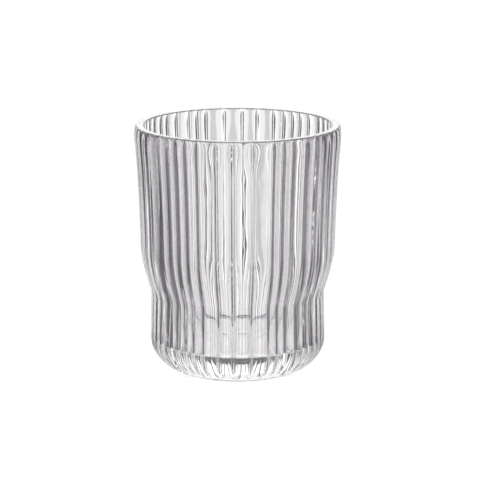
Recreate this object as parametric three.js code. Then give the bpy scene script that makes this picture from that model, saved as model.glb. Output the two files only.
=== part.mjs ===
// A clear pressed-glass tumbler in one piece: fluted outside and smooth inside, with a flat-topped lip,
// a shoulder that steps in to a narrower lower body, and a thick base that stands on a flat foot ring.
// Millimetres, +Z up. The origin is the centre of the foot, on the surface that the glass stands on.
// The front of the glass faces -Y, and angles run from there towards +X.
import * as THREE from "three";

// Outside of the glass, over the crowns of the flutes, from the foot to the lip.
const FOOT_HOLLOW_DEPTH = 0.3;
const FOOT_RING_WIDTH = 3.3;
const BASE_CORNER_WIDTH = 16.3;
const BASE_CORNER_HEIGHT = 13.7;
const BASE_DIAMETER = 70.3;
const WAIST_HEIGHT = 32.5;
const WAIST_DIAMETER = 69.6;
const SHOULDER_HEIGHT = 52;
const SHOULDER_DIAMETER = 78.2;
const BODY_BEND_HEIGHT = 80;
const BODY_BEND_DIAMETER = 79.6;
const HEIGHT = 100;
const RIM_DIAMETER = 82.2;

// The shoulder's curve: how steeply it leaves the waist and meets the body, outward per upward
// millimetre, and how far up and down it keeps those directions.
const WAIST_SLOPE = 0.3;
const SHOULDER_SLOPE = 0.04;
const SHOULDER_EASE = 7;

// Inside of the glass. The wall is measured level.
const RIM_WALL = 3.8;
const WAIST_WALL = 4.4;
const FLOOR_THICKNESS = 12.4;
const FLOOR_DIAMETER = 60;
const FLOOR_CORNER_RADIUS = 0.6;

// The lip is flat on top, with an edge melted round on each side. It stands in a little from the crowns,
// and each flute rounds over to it in a dome.
const LIP_OUTER_RADIUS = 0.8;
const LIP_INNER_RADIUS = 0.7;
const LIP_INSET = 0.3;
const DOME_HEIGHT = 5;

// Flutes: rounded pillars of uneven width with a narrow groove between each two. One half turn of
// widths in degrees, which the other half of the mould repeats, starting at a groove left of the front.
const FLUTE_WIDTHS = [
  10.5, 9.2, 10.9, 11.4, 5.9, 6.0, 9.1, 7.5, 5.8, 7.0, 6.6, 6.8,
  6.8, 6.8, 6.8, 6.8, 6.7, 7.3, 6.5, 9.5, 7.3, 5.9, 6.0, 6.9,
];
const FIRST_GROOVE_ANGLE = -22.4;
const CROWN_RISE = 0.45;
const GROOVE_DEPTH = 0.65;
const GROOVE_WIDTH = 1.9;

// How much of the flutes' depth is left at each step up the base corner, and on the lip's outer edge.
const CORNER_FLUTE_SHARES = [0, 0.5, 0.85, 1, 1];
const LIP_FLUTE_SHARE = 0.38;

const radians = THREE.MathUtils.degToRad;

// A point of the half section: its distance from the axis, its height, and its share of the flutes' depth.
const sectionPoint = (radius, height, fluteShare = 0) => ({ radius, height, fluteShare });

// The level thickness of the wall, which grows steadily from the rim down to the waist.
const wallAt = (height) => {
  return THREE.MathUtils.mapLinear(height, WAIST_HEIGHT, HEIGHT, WAIST_WALL, RIM_WALL);
};

// The shoulder, from the waist up to the body, as a smooth S.
const waist = new THREE.Vector2(WAIST_DIAMETER / 2, WAIST_HEIGHT);
const shoulder = new THREE.Vector2(SHOULDER_DIAMETER / 2, SHOULDER_HEIGHT);
const shoulderCurve = new THREE.CubicBezierCurve(
  waist,
  new THREE.Vector2(waist.x + WAIST_SLOPE * SHOULDER_EASE, waist.y + SHOULDER_EASE),
  new THREE.Vector2(shoulder.x - SHOULDER_SLOPE * SHOULDER_EASE, shoulder.y - SHOULDER_EASE),
  shoulder,
);

// The body above the shoulder flares gently up to the domes under the lip.
const domeFoot = new THREE.Vector2(RIM_DIAMETER / 2, HEIGHT - LIP_OUTER_RADIUS - DOME_HEIGHT);
const bodyBend = new THREE.Vector2(BODY_BEND_DIAMETER / 2, BODY_BEND_HEIGHT);
const bodyCurve = new THREE.QuadraticBezierCurve(shoulder, bodyBend, domeFoot);

// The half section runs from the axis under the foot, up the outside, over the lip and down the inside.
const section = [];

// Foot: a shallow hollow inside a flat ring.
const footRadius = BASE_DIAMETER / 2 - BASE_CORNER_WIDTH;
section.push(sectionPoint(0, FOOT_HOLLOW_DEPTH));
section.push(sectionPoint(footRadius - FOOT_RING_WIDTH, 0));

// Base corner: a quarter of an ellipse, on which the flutes run out towards the foot.
const cornerCurve = new THREE.EllipseCurve(
  footRadius, BASE_CORNER_HEIGHT, BASE_CORNER_WIDTH, BASE_CORNER_HEIGHT, -Math.PI / 2, 0, false,
);
cornerCurve.getPoints(CORNER_FLUTE_SHARES.length - 1).forEach((point, step) => {
  section.push(sectionPoint(point.x, point.y, CORNER_FLUTE_SHARES[step]));
});

// Lower body, shoulder and body, fluted all the way.
const shoulderPoints = shoulderCurve.getPoints(4);
const bodyPoints = bodyCurve.getPoints(2);
for (const point of [...shoulderPoints, bodyPoints[1]]) {
  section.push(sectionPoint(point.x, point.y, 1));
}

// Domes: the crowns round over to the lip while the grooves between them run out to meet it.
const lipRadius = RIM_DIAMETER / 2 - LIP_INSET;
const domeCurve = new THREE.EllipseCurve(
  lipRadius, domeFoot.y, LIP_INSET, DOME_HEIGHT, 0, Math.PI / 2, false,
);
for (const point of domeCurve.getPoints(2)) {
  const leftOfDome = (point.x - lipRadius) / LIP_INSET;
  section.push(sectionPoint(point.x, point.y, THREE.MathUtils.lerp(LIP_FLUTE_SHARE, 1, leftOfDome)));
}

// Lip: its outer edge is still gently fluted, and its flat top and inner edge are smooth.
const lipOuterCurve = new THREE.ArcCurve(
  lipRadius - LIP_OUTER_RADIUS, HEIGHT - LIP_OUTER_RADIUS, LIP_OUTER_RADIUS, 0, Math.PI / 2, false,
);
const lipInnerCurve = new THREE.ArcCurve(
  RIM_DIAMETER / 2 - RIM_WALL + LIP_INNER_RADIUS, HEIGHT - LIP_INNER_RADIUS,
  LIP_INNER_RADIUS, Math.PI / 2, Math.PI, false,
);
for (const point of lipOuterCurve.getPoints(2).slice(1)) {
  section.push(sectionPoint(point.x, point.y, LIP_FLUTE_SHARE));
}
for (const point of lipInnerCurve.getPoints(2)) {
  section.push(sectionPoint(point.x, point.y));
}

// Smooth inner wall, which follows the body and the shoulder down to the waist.
const innerPoints = [bodyPoints[1], ...shoulderPoints.toReversed()];
for (const point of innerPoints) {
  section.push(sectionPoint(point.x - wallAt(point.y), point.y));
}

// Floor of the cup, with a rounded corner.
const floorCurve = new THREE.ArcCurve(
  FLOOR_DIAMETER / 2 - FLOOR_CORNER_RADIUS, FLOOR_THICKNESS + FLOOR_CORNER_RADIUS,
  FLOOR_CORNER_RADIUS, 0, -Math.PI / 2, true,
);
for (const point of floorCurve.getPoints(3)) {
  section.push(sectionPoint(point.x, point.y));
}
section.push(sectionPoint(0, FLOOR_THICKNESS));

// Columns round the glass: four to a flute, at the groove, the two sides of the crown and its middle.
const widths = [...FLUTE_WIDTHS, ...FLUTE_WIDTHS];
const widthsTotal = widths.reduce((sum, width) => sum + width, 0);
const grooveHalfAngle = GROOVE_WIDTH / SHOULDER_DIAMETER;
const columns = [];
let grooveAngle = radians(FIRST_GROOVE_ANGLE);
for (const width of widths) {
  const fluteAngle = (width / widthsTotal) * 2 * Math.PI;
  const crownSideInset = CROWN_RISE * (1 - (2 * grooveHalfAngle) / fluteAngle) ** 2;
  columns.push({ angle: grooveAngle, inset: CROWN_RISE + GROOVE_DEPTH });
  columns.push({ angle: grooveAngle + grooveHalfAngle, inset: crownSideInset });
  columns.push({ angle: grooveAngle + fluteAngle / 2, inset: 0 });
  columns.push({ angle: grooveAngle + fluteAngle - grooveHalfAngle, inset: crownSideInset });
  grooveAngle += fluteAngle;
}

// The section is turned about the axis, then each column goes to its own angle and is drawn in there.
const profile = section.map((point) => new THREE.Vector2(point.radius, point.height));
const geometry = new THREE.LatheGeometry(profile, columns.length);
const positions = geometry.attributes.position;
for (let turn = 0; turn <= columns.length; turn++) {
  const { angle, inset } = columns[turn % columns.length];
  section.forEach((point, row) => {
    const radius = point.radius - inset * point.fluteShare;
    const x = radius * Math.sin(angle);
    const y = -radius * Math.cos(angle);
    positions.setXYZ(turn * section.length + row, x, y, point.height);
  });
}
geometry.computeVertexNormals();

const clearGlass = new THREE.MeshStandardMaterial({
  color: 0xeef0f3,
  roughness: 0.04,
  metalness: 0,
  transparent: true,
  opacity: 0.35,
});

const tumbler = new THREE.Mesh(geometry, clearGlass);
tumbler.name = "tumbler";

const group = new THREE.Group();
group.add(tumbler);

export default group;
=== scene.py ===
"""A clear pressed-glass tumbler on a white table, in front of a bright screen. Metres, +Z up, front at -Y."""
import math

import bpy
import numpy as np
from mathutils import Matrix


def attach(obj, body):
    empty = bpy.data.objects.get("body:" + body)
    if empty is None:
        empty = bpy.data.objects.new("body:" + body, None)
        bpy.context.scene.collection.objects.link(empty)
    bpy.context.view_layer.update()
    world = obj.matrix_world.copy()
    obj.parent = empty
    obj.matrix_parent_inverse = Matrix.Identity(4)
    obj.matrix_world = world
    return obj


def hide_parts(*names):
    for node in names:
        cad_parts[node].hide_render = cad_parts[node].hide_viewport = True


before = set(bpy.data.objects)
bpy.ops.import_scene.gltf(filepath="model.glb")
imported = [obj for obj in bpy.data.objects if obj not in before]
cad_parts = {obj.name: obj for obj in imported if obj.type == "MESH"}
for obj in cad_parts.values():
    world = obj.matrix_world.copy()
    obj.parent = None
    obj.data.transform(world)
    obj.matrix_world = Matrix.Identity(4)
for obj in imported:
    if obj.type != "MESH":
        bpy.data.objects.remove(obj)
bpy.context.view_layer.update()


# The tumbler: one body of clear soda-lime glass, pressed between a fluted mould and a smooth plunger,
# then fire-polished. It is a single piece, fixed to nothing, and stands on its own flat foot ring.
# All its sizes are millimetres, and the outside is measured over the crowns of the flutes.
FOOT_HOLLOW_DEPTH = 0.3
FOOT_RING_WIDTH = 3.3
BASE_CORNER_WIDTH = 16.3
BASE_CORNER_HEIGHT = 13.7
BASE_RADIUS = 35.15
WAIST_HEIGHT = 32.5
WAIST_RADIUS = 34.8
SHOULDER_HEIGHT = 52.0
SHOULDER_RADIUS = 39.1
BODY_BEND_HEIGHT = 80.0
BODY_BEND_RADIUS = 39.8
RIM_RADIUS = 41.1
HEIGHT = 100.0
WAIST_SLOPE = 0.3
SHOULDER_SLOPE = 0.04
SHOULDER_EASE = 7.0
OUTSIDE_SOFTENING = 2.5

# The inside, whose wall is measured level, and the lip, which the flutes reach in domes.
RIM_WALL = 3.8
WAIST_WALL = 4.4
FLOOR_THICKNESS = 12.4
FLOOR_RADIUS = 30.0
FLOOR_CORNER_RADIUS = 0.6
INSIDE_SOFTENING = 4.0
LIP_OUTER_RADIUS = 0.8
LIP_INNER_RADIUS = 0.7
LIP_INSET = 0.3
DOME_HEIGHT = 5.0
LIP_FLUTE_SHARE = 0.38

# One half turn of flutes, by their widths in degrees; the other half of the mould repeats it. The crown's
# rise and the groove's depth are those between two flutes of the usual width.
FLUTE_WIDTHS = [
    10.5, 9.2, 10.9, 11.4, 5.9, 6.0, 9.1, 7.5, 5.8, 7.0, 6.6, 6.8,
    6.8, 6.8, 6.8, 6.8, 6.7, 7.3, 6.5, 9.5, 7.3, 5.9, 6.0, 6.9,
]
FIRST_GROOVE_ANGLE = -22.4
USUAL_WIDTH = 6.8
CROWN_RISE = 0.45
GROOVE_DEPTH = 0.65
GROOVE_WIDTH = 1.9
COLUMNS_PER_FLUTE = 12
COLUMN_BUNCHING = 0.55

# A wide flute swells at both ends: by height, the power of its width that its crown's rise follows. The
# grooves beside it are a little shallower all the way.
CROWN_POWER_HEIGHTS = [43, 54, 88, 95]
CROWN_POWERS = [1.4, -0.4, -0.4, 1.4]
GROOVE_POWER = -0.25

# Where the flutes run out on the base corner, in degrees below its top: the crowns end before the grooves.
CROWN_RUN_OUT = (-60, -15)
GROOVE_RUN_OUT = (-90, -30)


def bezier(controls):
    """Points on a Bezier curve: the control points, weighted by Bernstein polynomials of t from 0 to 1."""
    controls = np.array(controls)
    degree = len(controls) - 1
    t = np.linspace(0, 1, 200)[:, None]
    shares = [math.comb(degree, k) * t**k * (1 - t) ** (degree - k) for k in range(degree + 1)]
    return sum(share * point for share, point in zip(shares, controls))


def wall_outline():
    """Radius by height up the outside: straight to the waist, an S to the shoulder, a slow flare above."""
    waist = (WAIST_RADIUS, WAIST_HEIGHT)
    waist_lead = (WAIST_RADIUS + WAIST_SLOPE * SHOULDER_EASE, WAIST_HEIGHT + SHOULDER_EASE)
    shoulder_lead = (SHOULDER_RADIUS - SHOULDER_SLOPE * SHOULDER_EASE, SHOULDER_HEIGHT - SHOULDER_EASE)
    shoulder = (SHOULDER_RADIUS, SHOULDER_HEIGHT)
    dome_foot = (RIM_RADIUS, HEIGHT - LIP_OUTER_RADIUS - DOME_HEIGHT)
    below = [(BASE_RADIUS, 0), (BASE_RADIUS, BASE_CORNER_HEIGHT)]
    step_in = bezier([waist, waist_lead, shoulder_lead, shoulder])
    flare = bezier([shoulder, (BODY_BEND_RADIUS, BODY_BEND_HEIGHT), dome_foot])
    return np.vstack([below, step_in, flare[1:]])


def softened(radius_at, heights, reach):
    """A curve's radius at each height, averaged over reach up and down with a bell of cosine squared."""
    offsets = np.linspace(-reach, reach, 21)
    weights = np.cos(offsets / reach * math.pi / 2) ** 2
    return (weights * radius_at(heights[:, None] + offsets)).sum(axis=1) / weights.sum()


def outer_radius(heights):
    """The outline's radius, read off the wall's curve by height."""
    outline = wall_outline()
    return np.interp(heights, outline[:, 1], outline[:, 0])


def inner_radius(heights):
    """The outside less a wall that thickens down to the waist, then a straight taper to the floor."""
    wall = np.interp(heights, [WAIST_HEIGHT, HEIGHT], [WAIST_WALL, RIM_WALL])
    floor_corner = FLOOR_THICKNESS + FLOOR_CORNER_RADIUS
    taper = np.interp(heights, [floor_corner, WAIST_HEIGHT], [FLOOR_RADIUS, WAIST_RADIUS - WAIST_WALL])
    return np.where(heights > WAIST_HEIGHT, outer_radius(heights) - wall, taper)


def rows(radius, height, crown_share, groove_share):
    """Rows of the half section: distance from the axis, height, how much of the crowns' rise and of the
    grooves' depth they carry, and the power of its width that a crown's rise follows at that height."""
    width_power = np.interp(height, CROWN_POWER_HEIGHTS, CROWN_POWERS)
    columns = np.broadcast_arrays(radius, height, crown_share, groove_share, width_power)
    return np.stack(columns, axis=1).astype(float)


def eased(value, start, end):
    """A smooth step from 0 at start to 1 at end: three squares less two cubes of the way between them."""
    way = np.clip((value - start) / (end - start), 0, 1)
    return way**2 * (3 - 2 * way)


def steps(start, end, count):
    """Even steps from start to end, without start itself, which the row before has."""
    return np.linspace(start, end, count + 1)[1:]


def half_section():
    """The half section, from the axis under the foot, up the outside, over the lip and down the inside. The
    foot is a shallow parabola, the base corner and the domes are quarters of ellipses, and the edges of the
    lip and the corner of the floor are quarters of circles."""
    foot_radius = BASE_RADIUS - BASE_CORNER_WIDTH
    hollow = np.linspace(0, 1, 9)
    foot = rows((foot_radius - FOOT_RING_WIDTH) * hollow, FOOT_HOLLOW_DEPTH * (1 - hollow**2), 0, 0)

    turn = np.linspace(-math.pi / 2, 0, 19)
    corner = rows(foot_radius + BASE_CORNER_WIDTH * np.cos(turn), BASE_CORNER_HEIGHT * (1 + np.sin(turn)),
                  eased(turn, *np.radians(CROWN_RUN_OUT)), eased(turn, *np.radians(GROOVE_RUN_OUT)))

    dome_foot = HEIGHT - LIP_OUTER_RADIUS - DOME_HEIGHT
    curve_foot, curve_top = WAIST_HEIGHT - 5, SHOULDER_HEIGHT + 4
    heights = np.concatenate([
        steps(BASE_CORNER_HEIGHT, curve_foot, 8),
        steps(curve_foot, curve_top, 26),
        steps(curve_top, dome_foot, 16),
    ])
    outside = rows(softened(outer_radius, heights, OUTSIDE_SOFTENING), heights, 1, 1)

    turn = steps(0, math.pi / 2, 8)
    dome_heights = dome_foot + DOME_HEIGHT * np.sin(turn)
    dome_share = LIP_FLUTE_SHARE + (1 - LIP_FLUTE_SHARE) * np.cos(turn)
    dome_radius = outer_radius(dome_heights) - LIP_INSET * (1 - np.cos(turn))
    dome = rows(dome_radius, dome_heights, dome_share, dome_share)
    top_outer = RIM_RADIUS - LIP_INSET - LIP_OUTER_RADIUS
    top_inner = RIM_RADIUS - RIM_WALL + LIP_INNER_RADIUS
    lip_outside = rows(top_outer + LIP_OUTER_RADIUS * np.cos(turn),
                       HEIGHT - LIP_OUTER_RADIUS * (1 - np.sin(turn)), LIP_FLUTE_SHARE, LIP_FLUTE_SHARE)
    across = steps(0, 1, 5)[:-1]
    top_share = LIP_FLUTE_SHARE * (1 - across) ** 2
    lip_top = rows(top_outer + (top_inner - top_outer) * across, HEIGHT, top_share, top_share)
    turn = np.linspace(0, math.pi / 2, 8)
    lip_inside = rows(top_inner - LIP_INNER_RADIUS * np.sin(turn),
                      HEIGHT - LIP_INNER_RADIUS * (1 - np.cos(turn)), 0, 0)

    curve_foot, curve_top = WAIST_HEIGHT - 6, SHOULDER_HEIGHT + 6
    heights = np.concatenate([
        steps(HEIGHT - LIP_INNER_RADIUS, curve_top, 13),
        steps(curve_top, curve_foot, 20),
        steps(curve_foot, FLOOR_THICKNESS + FLOOR_CORNER_RADIUS, 6),
    ])
    inside = rows(softened(inner_radius, heights, INSIDE_SOFTENING), heights, 0, 0)

    turn = steps(0, math.pi / 2, 8)
    flat_radius = inside[-1, 0] - FLOOR_CORNER_RADIUS
    floor_corner = rows(flat_radius + FLOOR_CORNER_RADIUS * np.cos(turn),
                        FLOOR_THICKNESS + FLOOR_CORNER_RADIUS * (1 - np.sin(turn)), 0, 0)
    floor = rows(flat_radius * steps(1, 0, 7), FLOOR_THICKNESS, 0, 0)
    lip = np.vstack([lip_outside, lip_top, lip_inside])
    return np.vstack([foot, corner, outside, dome, lip, inside, floor_corner, floor])


def flute_columns():
    """Angle of each column, how far the crown and the groove draw it in, and how wide the two flutes at its
    nearer groove are, in usual widths. The crown falls away as the square of the way from its middle, and
    the groove is one cosine wave. The columns stand closer together towards the grooves."""
    widths = np.radians(np.tile(FLUTE_WIDTHS, 2))
    widths *= 2 * math.pi / widths.sum()
    grooves = math.radians(FIRST_GROOVE_ANGLE) + np.concatenate([[0], np.cumsum(widths)[:-1]])
    even = np.arange(COLUMNS_PER_FLUTE) / COLUMNS_PER_FLUTE
    place = even - COLUMN_BUNCHING * np.sin(2 * math.pi * even) / (2 * math.pi)
    angles = grooves[:, None] + widths[:, None] * place
    to_groove = np.minimum(place, 1 - place)
    ratio_before = (widths + np.roll(widths, 1)) / 2 / math.radians(USUAL_WIDTH)
    ratio_after = np.roll(ratio_before, -1)
    width_ratio = np.where(place < 0.5, ratio_before[:, None], ratio_after[:, None])
    across_groove = np.clip(to_groove * widths[:, None] * SHOULDER_RADIUS / (GROOVE_WIDTH / 2), 0, 1)
    groove = GROOVE_DEPTH * width_ratio**GROOVE_POWER * (1 + np.cos(math.pi * across_groove)) / 2
    crown = np.broadcast_to(CROWN_RISE * (1 - 2 * to_groove) ** 2, groove.shape)
    return angles.ravel(), crown.ravel(), groove.ravel(), width_ratio.ravel()


def turned_shell(section, angles, crown, groove, width_ratio):
    """Vertices and faces of the section turned about the axis. Each point is drawn in by its row's share of
    the crown, times the width ratio to the row's power, and by its row's share of the groove. The first and
    last rows lie on the axis and close the shell with fans."""
    radius, height, crown_share, groove_share, width_power = section[1:-1].T[:, :, None]
    radius = radius - crown_share * crown * width_ratio**width_power - groove_share * groove
    height = np.broadcast_to(height, radius.shape)
    grid = np.stack([radius * np.sin(angles), -radius * np.cos(angles), height], axis=2)
    poles = [[0, 0, section[0, 1]], [0, 0, section[-1, 1]]]
    vertices = np.vstack([grid.reshape(-1, 3), poles]) / 1000

    row_count, column_count = radius.shape
    here = np.arange(column_count)
    beside = np.roll(here, -1)
    row_start = column_count * np.arange(row_count - 1)[:, None]
    quads = np.stack(np.broadcast_arrays(
        row_start + here,
        row_start + beside,
        row_start + column_count + beside,
        row_start + column_count + here,
    ), axis=2).reshape(-1, 4)
    under_foot, on_floor = len(vertices) - 2, len(vertices) - 1
    last_row = column_count * (row_count - 1)
    foot_fan = np.stack([np.full(column_count, under_foot), beside, here], axis=1)
    floor_fan = np.stack([np.full(column_count, on_floor), last_row + here, last_row + beside], axis=1)
    return vertices, quads.tolist() + foot_fan.tolist() + floor_fan.tolist()


def linear_colour(hex_colour):
    """Scene-linear RGBA of an sRGB hex colour, by the sRGB curve."""
    srgb = np.array([int(hex_colour[k:k + 2], 16) / 255 for k in (1, 3, 5)])
    rgb = np.where(srgb <= 0.04045, srgb / 12.92, ((srgb + 0.055) / 1.055) ** 2.4)
    return (*rgb.tolist(), 1.0)


def add_node(tree, kind, settings=(), **inputs):
    """A node of the given kind with its settings, each input set to a value or linked to an output."""
    node = tree.nodes.new(kind)
    for name, value in dict(settings).items():
        setattr(node, name, value)
    for name, value in inputs.items():
        socket = node.inputs[name.replace("_", " ")]
        if isinstance(value, bpy.types.NodeSocket):
            tree.links.new(value, socket)
        else:
            socket.default_value = value
    return node


# Pressed soda-lime glass: clear and colourless. The fire-polished skin is bright and very slightly uneven,
# in swells and upright streaks, so lines seen through it waver a little, and a faint bloom from handling
# dulls it in patches. Their sizes are millimetres too.
glass = bpy.data.materials.new("fire_polished_soda_lime_glass")
glass.use_nodes = True
glass_tree = glass.node_tree
glass_shader = glass_tree.nodes["Principled BSDF"]
glass_shader.inputs["Base Color"].default_value = linear_colour("#f6f5f6")
glass_shader.inputs["IOR"].default_value = 1.515
glass_shader.inputs["Transmission Weight"].default_value = 1.0
POLISH_WAVE = 9.0
STREAK_WIDTH = 3.0
STREAK_LENGTH = 8.6
BLOOM_PATCH = 22.0
place = add_node(glass_tree, "ShaderNodeTexCoord").outputs["Object"]
bloom = add_node(glass_tree, "ShaderNodeTexNoise", Vector=place, Scale=1000 / BLOOM_PATCH, Detail=3.0)
dulled = add_node(glass_tree, "ShaderNodeMapRange", Value=bloom.outputs["Fac"],
                  From_Min=0.35, From_Max=0.75, To_Min=0.0, To_Max=0.012)
wave = add_node(glass_tree, "ShaderNodeTexNoise", Vector=place, Scale=1000 / POLISH_WAVE, Detail=1.0)
swell = add_node(glass_tree, "ShaderNodeBump", Height=wave.outputs["Fac"], Strength=0.1, Distance=0.0002)
upright = add_node(glass_tree, "ShaderNodeMapping", Vector=place,
                   Scale=(1.0, 1.0, STREAK_WIDTH / STREAK_LENGTH))
streak = add_node(glass_tree, "ShaderNodeTexNoise", Vector=upright.outputs["Vector"],
                  Scale=1000 / STREAK_WIDTH, Detail=1.0)
ripple = add_node(glass_tree, "ShaderNodeBump", Height=streak.outputs["Fac"], Strength=0.22, Distance=0.0001,
                  Normal=swell.outputs["Normal"])
glass_tree.links.new(dulled.outputs["Result"], glass_shader.inputs["Roughness"])
glass_tree.links.new(ripple.outputs["Normal"], glass_shader.inputs["Normal"])

vertices, faces = turned_shell(half_section(), *flute_columns())
tumbler_mesh = bpy.data.meshes.new("pressed_tumbler")
tumbler_mesh.from_pydata(vertices.tolist(), [], faces)
tumbler_mesh.shade_smooth()
tumbler_mesh.materials.append(glass)
tumbler = bpy.data.objects.new("pressed_tumbler", tumbler_mesh)
bpy.context.scene.collection.objects.link(tumbler)
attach(tumbler, "root")
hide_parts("tumbler")


# The table and the screens: a white table top that ends close behind the glass, with a painted shadow under
# the glass where its glow is turned down, and far behind it a tall white screen, brighter at its sides and
# dim at its foot.
# A grey card hangs there straight behind the glass, and is seen only through its walls. A dim screen stands
# behind the camera.
def glowing_sheet(name, centre, across, up, brightness, shares, colour="#ffffff"):
    """A flat four-cornered sheet, centre plus and minus across and up, with its own glow: the brightness
    times a share that eases from one pair to the next, each the way out from the middle and the share."""
    mesh = bpy.data.meshes.new(name)
    centre, across, up = np.array(centre), np.array(across), np.array(up)
    corners = [centre - across - up, centre + across - up, centre + across + up, centre - across + up]
    mesh.from_pydata([corner.tolist() for corner in corners], [], [(0, 1, 2, 3)])
    uv = mesh.uv_layers.new(name="across")
    uv.data.foreach_set("uv", [-1, -1, 1, -1, 1, 1, -1, 1])
    sheet = bpy.data.objects.new(name, mesh)
    bpy.context.scene.collection.objects.link(sheet)
    paper = bpy.data.materials.new(name + "_paper")
    paper.use_nodes = True
    tree = paper.node_tree
    shader = tree.nodes["Principled BSDF"]
    shader.inputs["Base Color"].default_value = linear_colour("#000000")
    shader.inputs["Specular IOR Level"].default_value = 0.0
    shader.inputs["Emission Color"].default_value = linear_colour(colour)
    place = add_node(tree, "ShaderNodeUVMap", {"uv_map": "across"}).outputs["UV"]
    sideways = add_node(tree, "ShaderNodeSeparateXYZ", Vector=place).outputs["X"]
    from_middle = add_node(tree, "ShaderNodeMath", {"operation": "ABSOLUTE"}, Value=sideways)
    glow = add_node(tree, "ShaderNodeValToRGB", Fac=from_middle.outputs["Value"])
    glow.color_ramp.interpolation = "EASE"
    for stop, (way, share) in zip(glow.color_ramp.elements, (shares[0], shares[-1])):
        stop.position = way
        stop.color = (share, share, share, 1)
    for way, share in shares[1:-1]:
        glow.color_ramp.elements.new(way).color = (share, share, share, 1)
    strength = add_node(tree, "ShaderNodeVectorMath", {"operation": "SCALE"}, Vector=glow.outputs["Color"],
                        Scale=brightness)
    tree.links.new(strength.outputs["Vector"], shader.inputs["Emission Strength"])
    mesh.materials.append(paper)


EVEN = [(0, 1), (1, 1)]
SOFT_SIDES = [(0.4, 1), (1, 0.2)]
glowing_sheet("table", centre=(0, -0.155, 0), across=(0.045, 0, 0), up=(0, 0.14, 0), brightness=1.0,
              shares=EVEN)
# Painted shadow: the table under the glass glows at only 0.8 of its edges' brightness, standing in for the
# glass's shadow.
glowing_sheet("table_with_painted_shadow", centre=(0, 0.01, 0), across=(0.045, 0, 0), up=(0, 0.025, 0), brightness=1.0,
              shares=[(0, 0.8), (0.3, 0.8), (0.54, 1)])
glowing_sheet("screen", centre=(0, 2.0, -0.58), across=(1.45, 0, 0), up=(0, 0, 0.27), brightness=1.55,
              shares=[(0, 0.663), (0.18, 0.663), (0.36, 1), (0.56, 1), (0.78, 0.07)])
glowing_sheet("lower_screen", centre=(0, 2.0, -1.25), across=(1.45, 0, 0), up=(0, 0, 0.40), brightness=0.4,
              shares=SOFT_SIDES)
glowing_sheet("middle_screen", centre=(0, 2.0, -0.08), across=(1.45, 0, 0), up=(0, 0, 0.23), brightness=1.15,
              shares=[(0, 0.895), (0.18, 0.895), (0.36, 1), (0.56, 1), (0.78, 0.08)])
glowing_sheet("upper_screen", centre=(0, 2.0, 0.65), across=(1.40, 0, 0), up=(0, 0, 0.50), brightness=1.3,
              shares=[(0.57, 1), (1, 0.08)])
glowing_sheet("grey_card", centre=(0, 1.98, -0.44), across=(0.105, 0, 0), up=(0, 0, 0.203), brightness=1.0,
              shares=[(0, 0.73), (0.6, 0.73), (1, 1)])
glowing_sheet("front_screen", centre=(0, -2.4, -0.7), across=(2.6, 0, 0), up=(0, 0, 0.9), brightness=0.5,
              shares=SOFT_SIDES)


# The light: a dim lilac-grey room, a little paler below, with a strip light high in front of the screen, a
# soft panel overhead and a tall one on each side, which fades up and down from its middle.
glowing_sheet("strip", centre=(0, 1.95, 0.50), across=(0.40, 0, 0), up=(0, 0, 0.22), brightness=1.9,
              shares=EVEN)
glowing_sheet("overhead", centre=(0, 0.4, 1.6), across=(1.0, 0, 0), up=(0, 0.7, 0), brightness=0.26,
              shares=SOFT_SIDES)
for side, way, brightness in (("left", -1, 0.43), ("right", 1, 0.60)):
    glowing_sheet(side + "_panel", centre=(way * 1.6, 0, 0.5), across=(0, 0, 1.6), up=(0, 0.75, 0),
                  brightness=brightness, shares=[(0.2, 1), (0.75, 0.25)], colour="#fbf5ff")
room = bpy.data.worlds.new("dim_room")
room.use_nodes = True
room_tree = room.node_tree
direction = add_node(room_tree, "ShaderNodeTexCoord").outputs["Generated"]
upward = add_node(room_tree, "ShaderNodeSeparateXYZ", Vector=direction).outputs["Z"]
room_light = add_node(room_tree, "ShaderNodeMapRange", {"interpolation_type": "SMOOTHSTEP"}, Value=upward,
                      From_Min=-0.7, From_Max=-0.2, To_Min=0.3, To_Max=0.09)
room_tree.nodes["Background"].inputs["Color"].default_value = linear_colour("#fbf4ff")
room_tree.links.new(room_light.outputs["Result"], room_tree.nodes["Background"].inputs["Strength"])
bpy.context.scene.world = room
bpy.context.scene.view_settings.view_transform = "Standard"
bpy.context.scene.cycles.max_bounces = 32
bpy.context.scene.cycles.transmission_bounces = 32
bpy.context.scene.cycles.glossy_bounces = 16


# The camera: a long lens, a little above the rim and looking down 13 degrees, as the picture was taken.
# The pixel values say where the glass's axis and the middle of its height fall in the picture.
CAMERA_DISTANCE = 0.90
CAMERA_ELEVATION = math.radians(12.974)
TARGET_HEIGHT = 0.05
IMAGE_SIZE = 480
FOCAL_PIXELS = 2242.3
AXIS_PIXEL_X, TARGET_PIXEL_Y = 237.7, 246.73
lens = bpy.data.cameras.new("long_lens")
lens.sensor_width = 36.0
lens.lens = FOCAL_PIXELS / IMAGE_SIZE * lens.sensor_width
lens.shift_x = (IMAGE_SIZE / 2 - AXIS_PIXEL_X) / IMAGE_SIZE
lens.shift_y = (TARGET_PIXEL_Y - IMAGE_SIZE / 2) / IMAGE_SIZE
camera = bpy.data.objects.new("camera", lens)
camera.location = (
    0,
    -CAMERA_DISTANCE * math.cos(CAMERA_ELEVATION),
    TARGET_HEIGHT + CAMERA_DISTANCE * math.sin(CAMERA_ELEVATION),
)
camera.rotation_euler = (math.pi / 2 - CAMERA_ELEVATION, 0, 0)
bpy.context.scene.collection.objects.link(camera)
bpy.context.scene.camera = camera
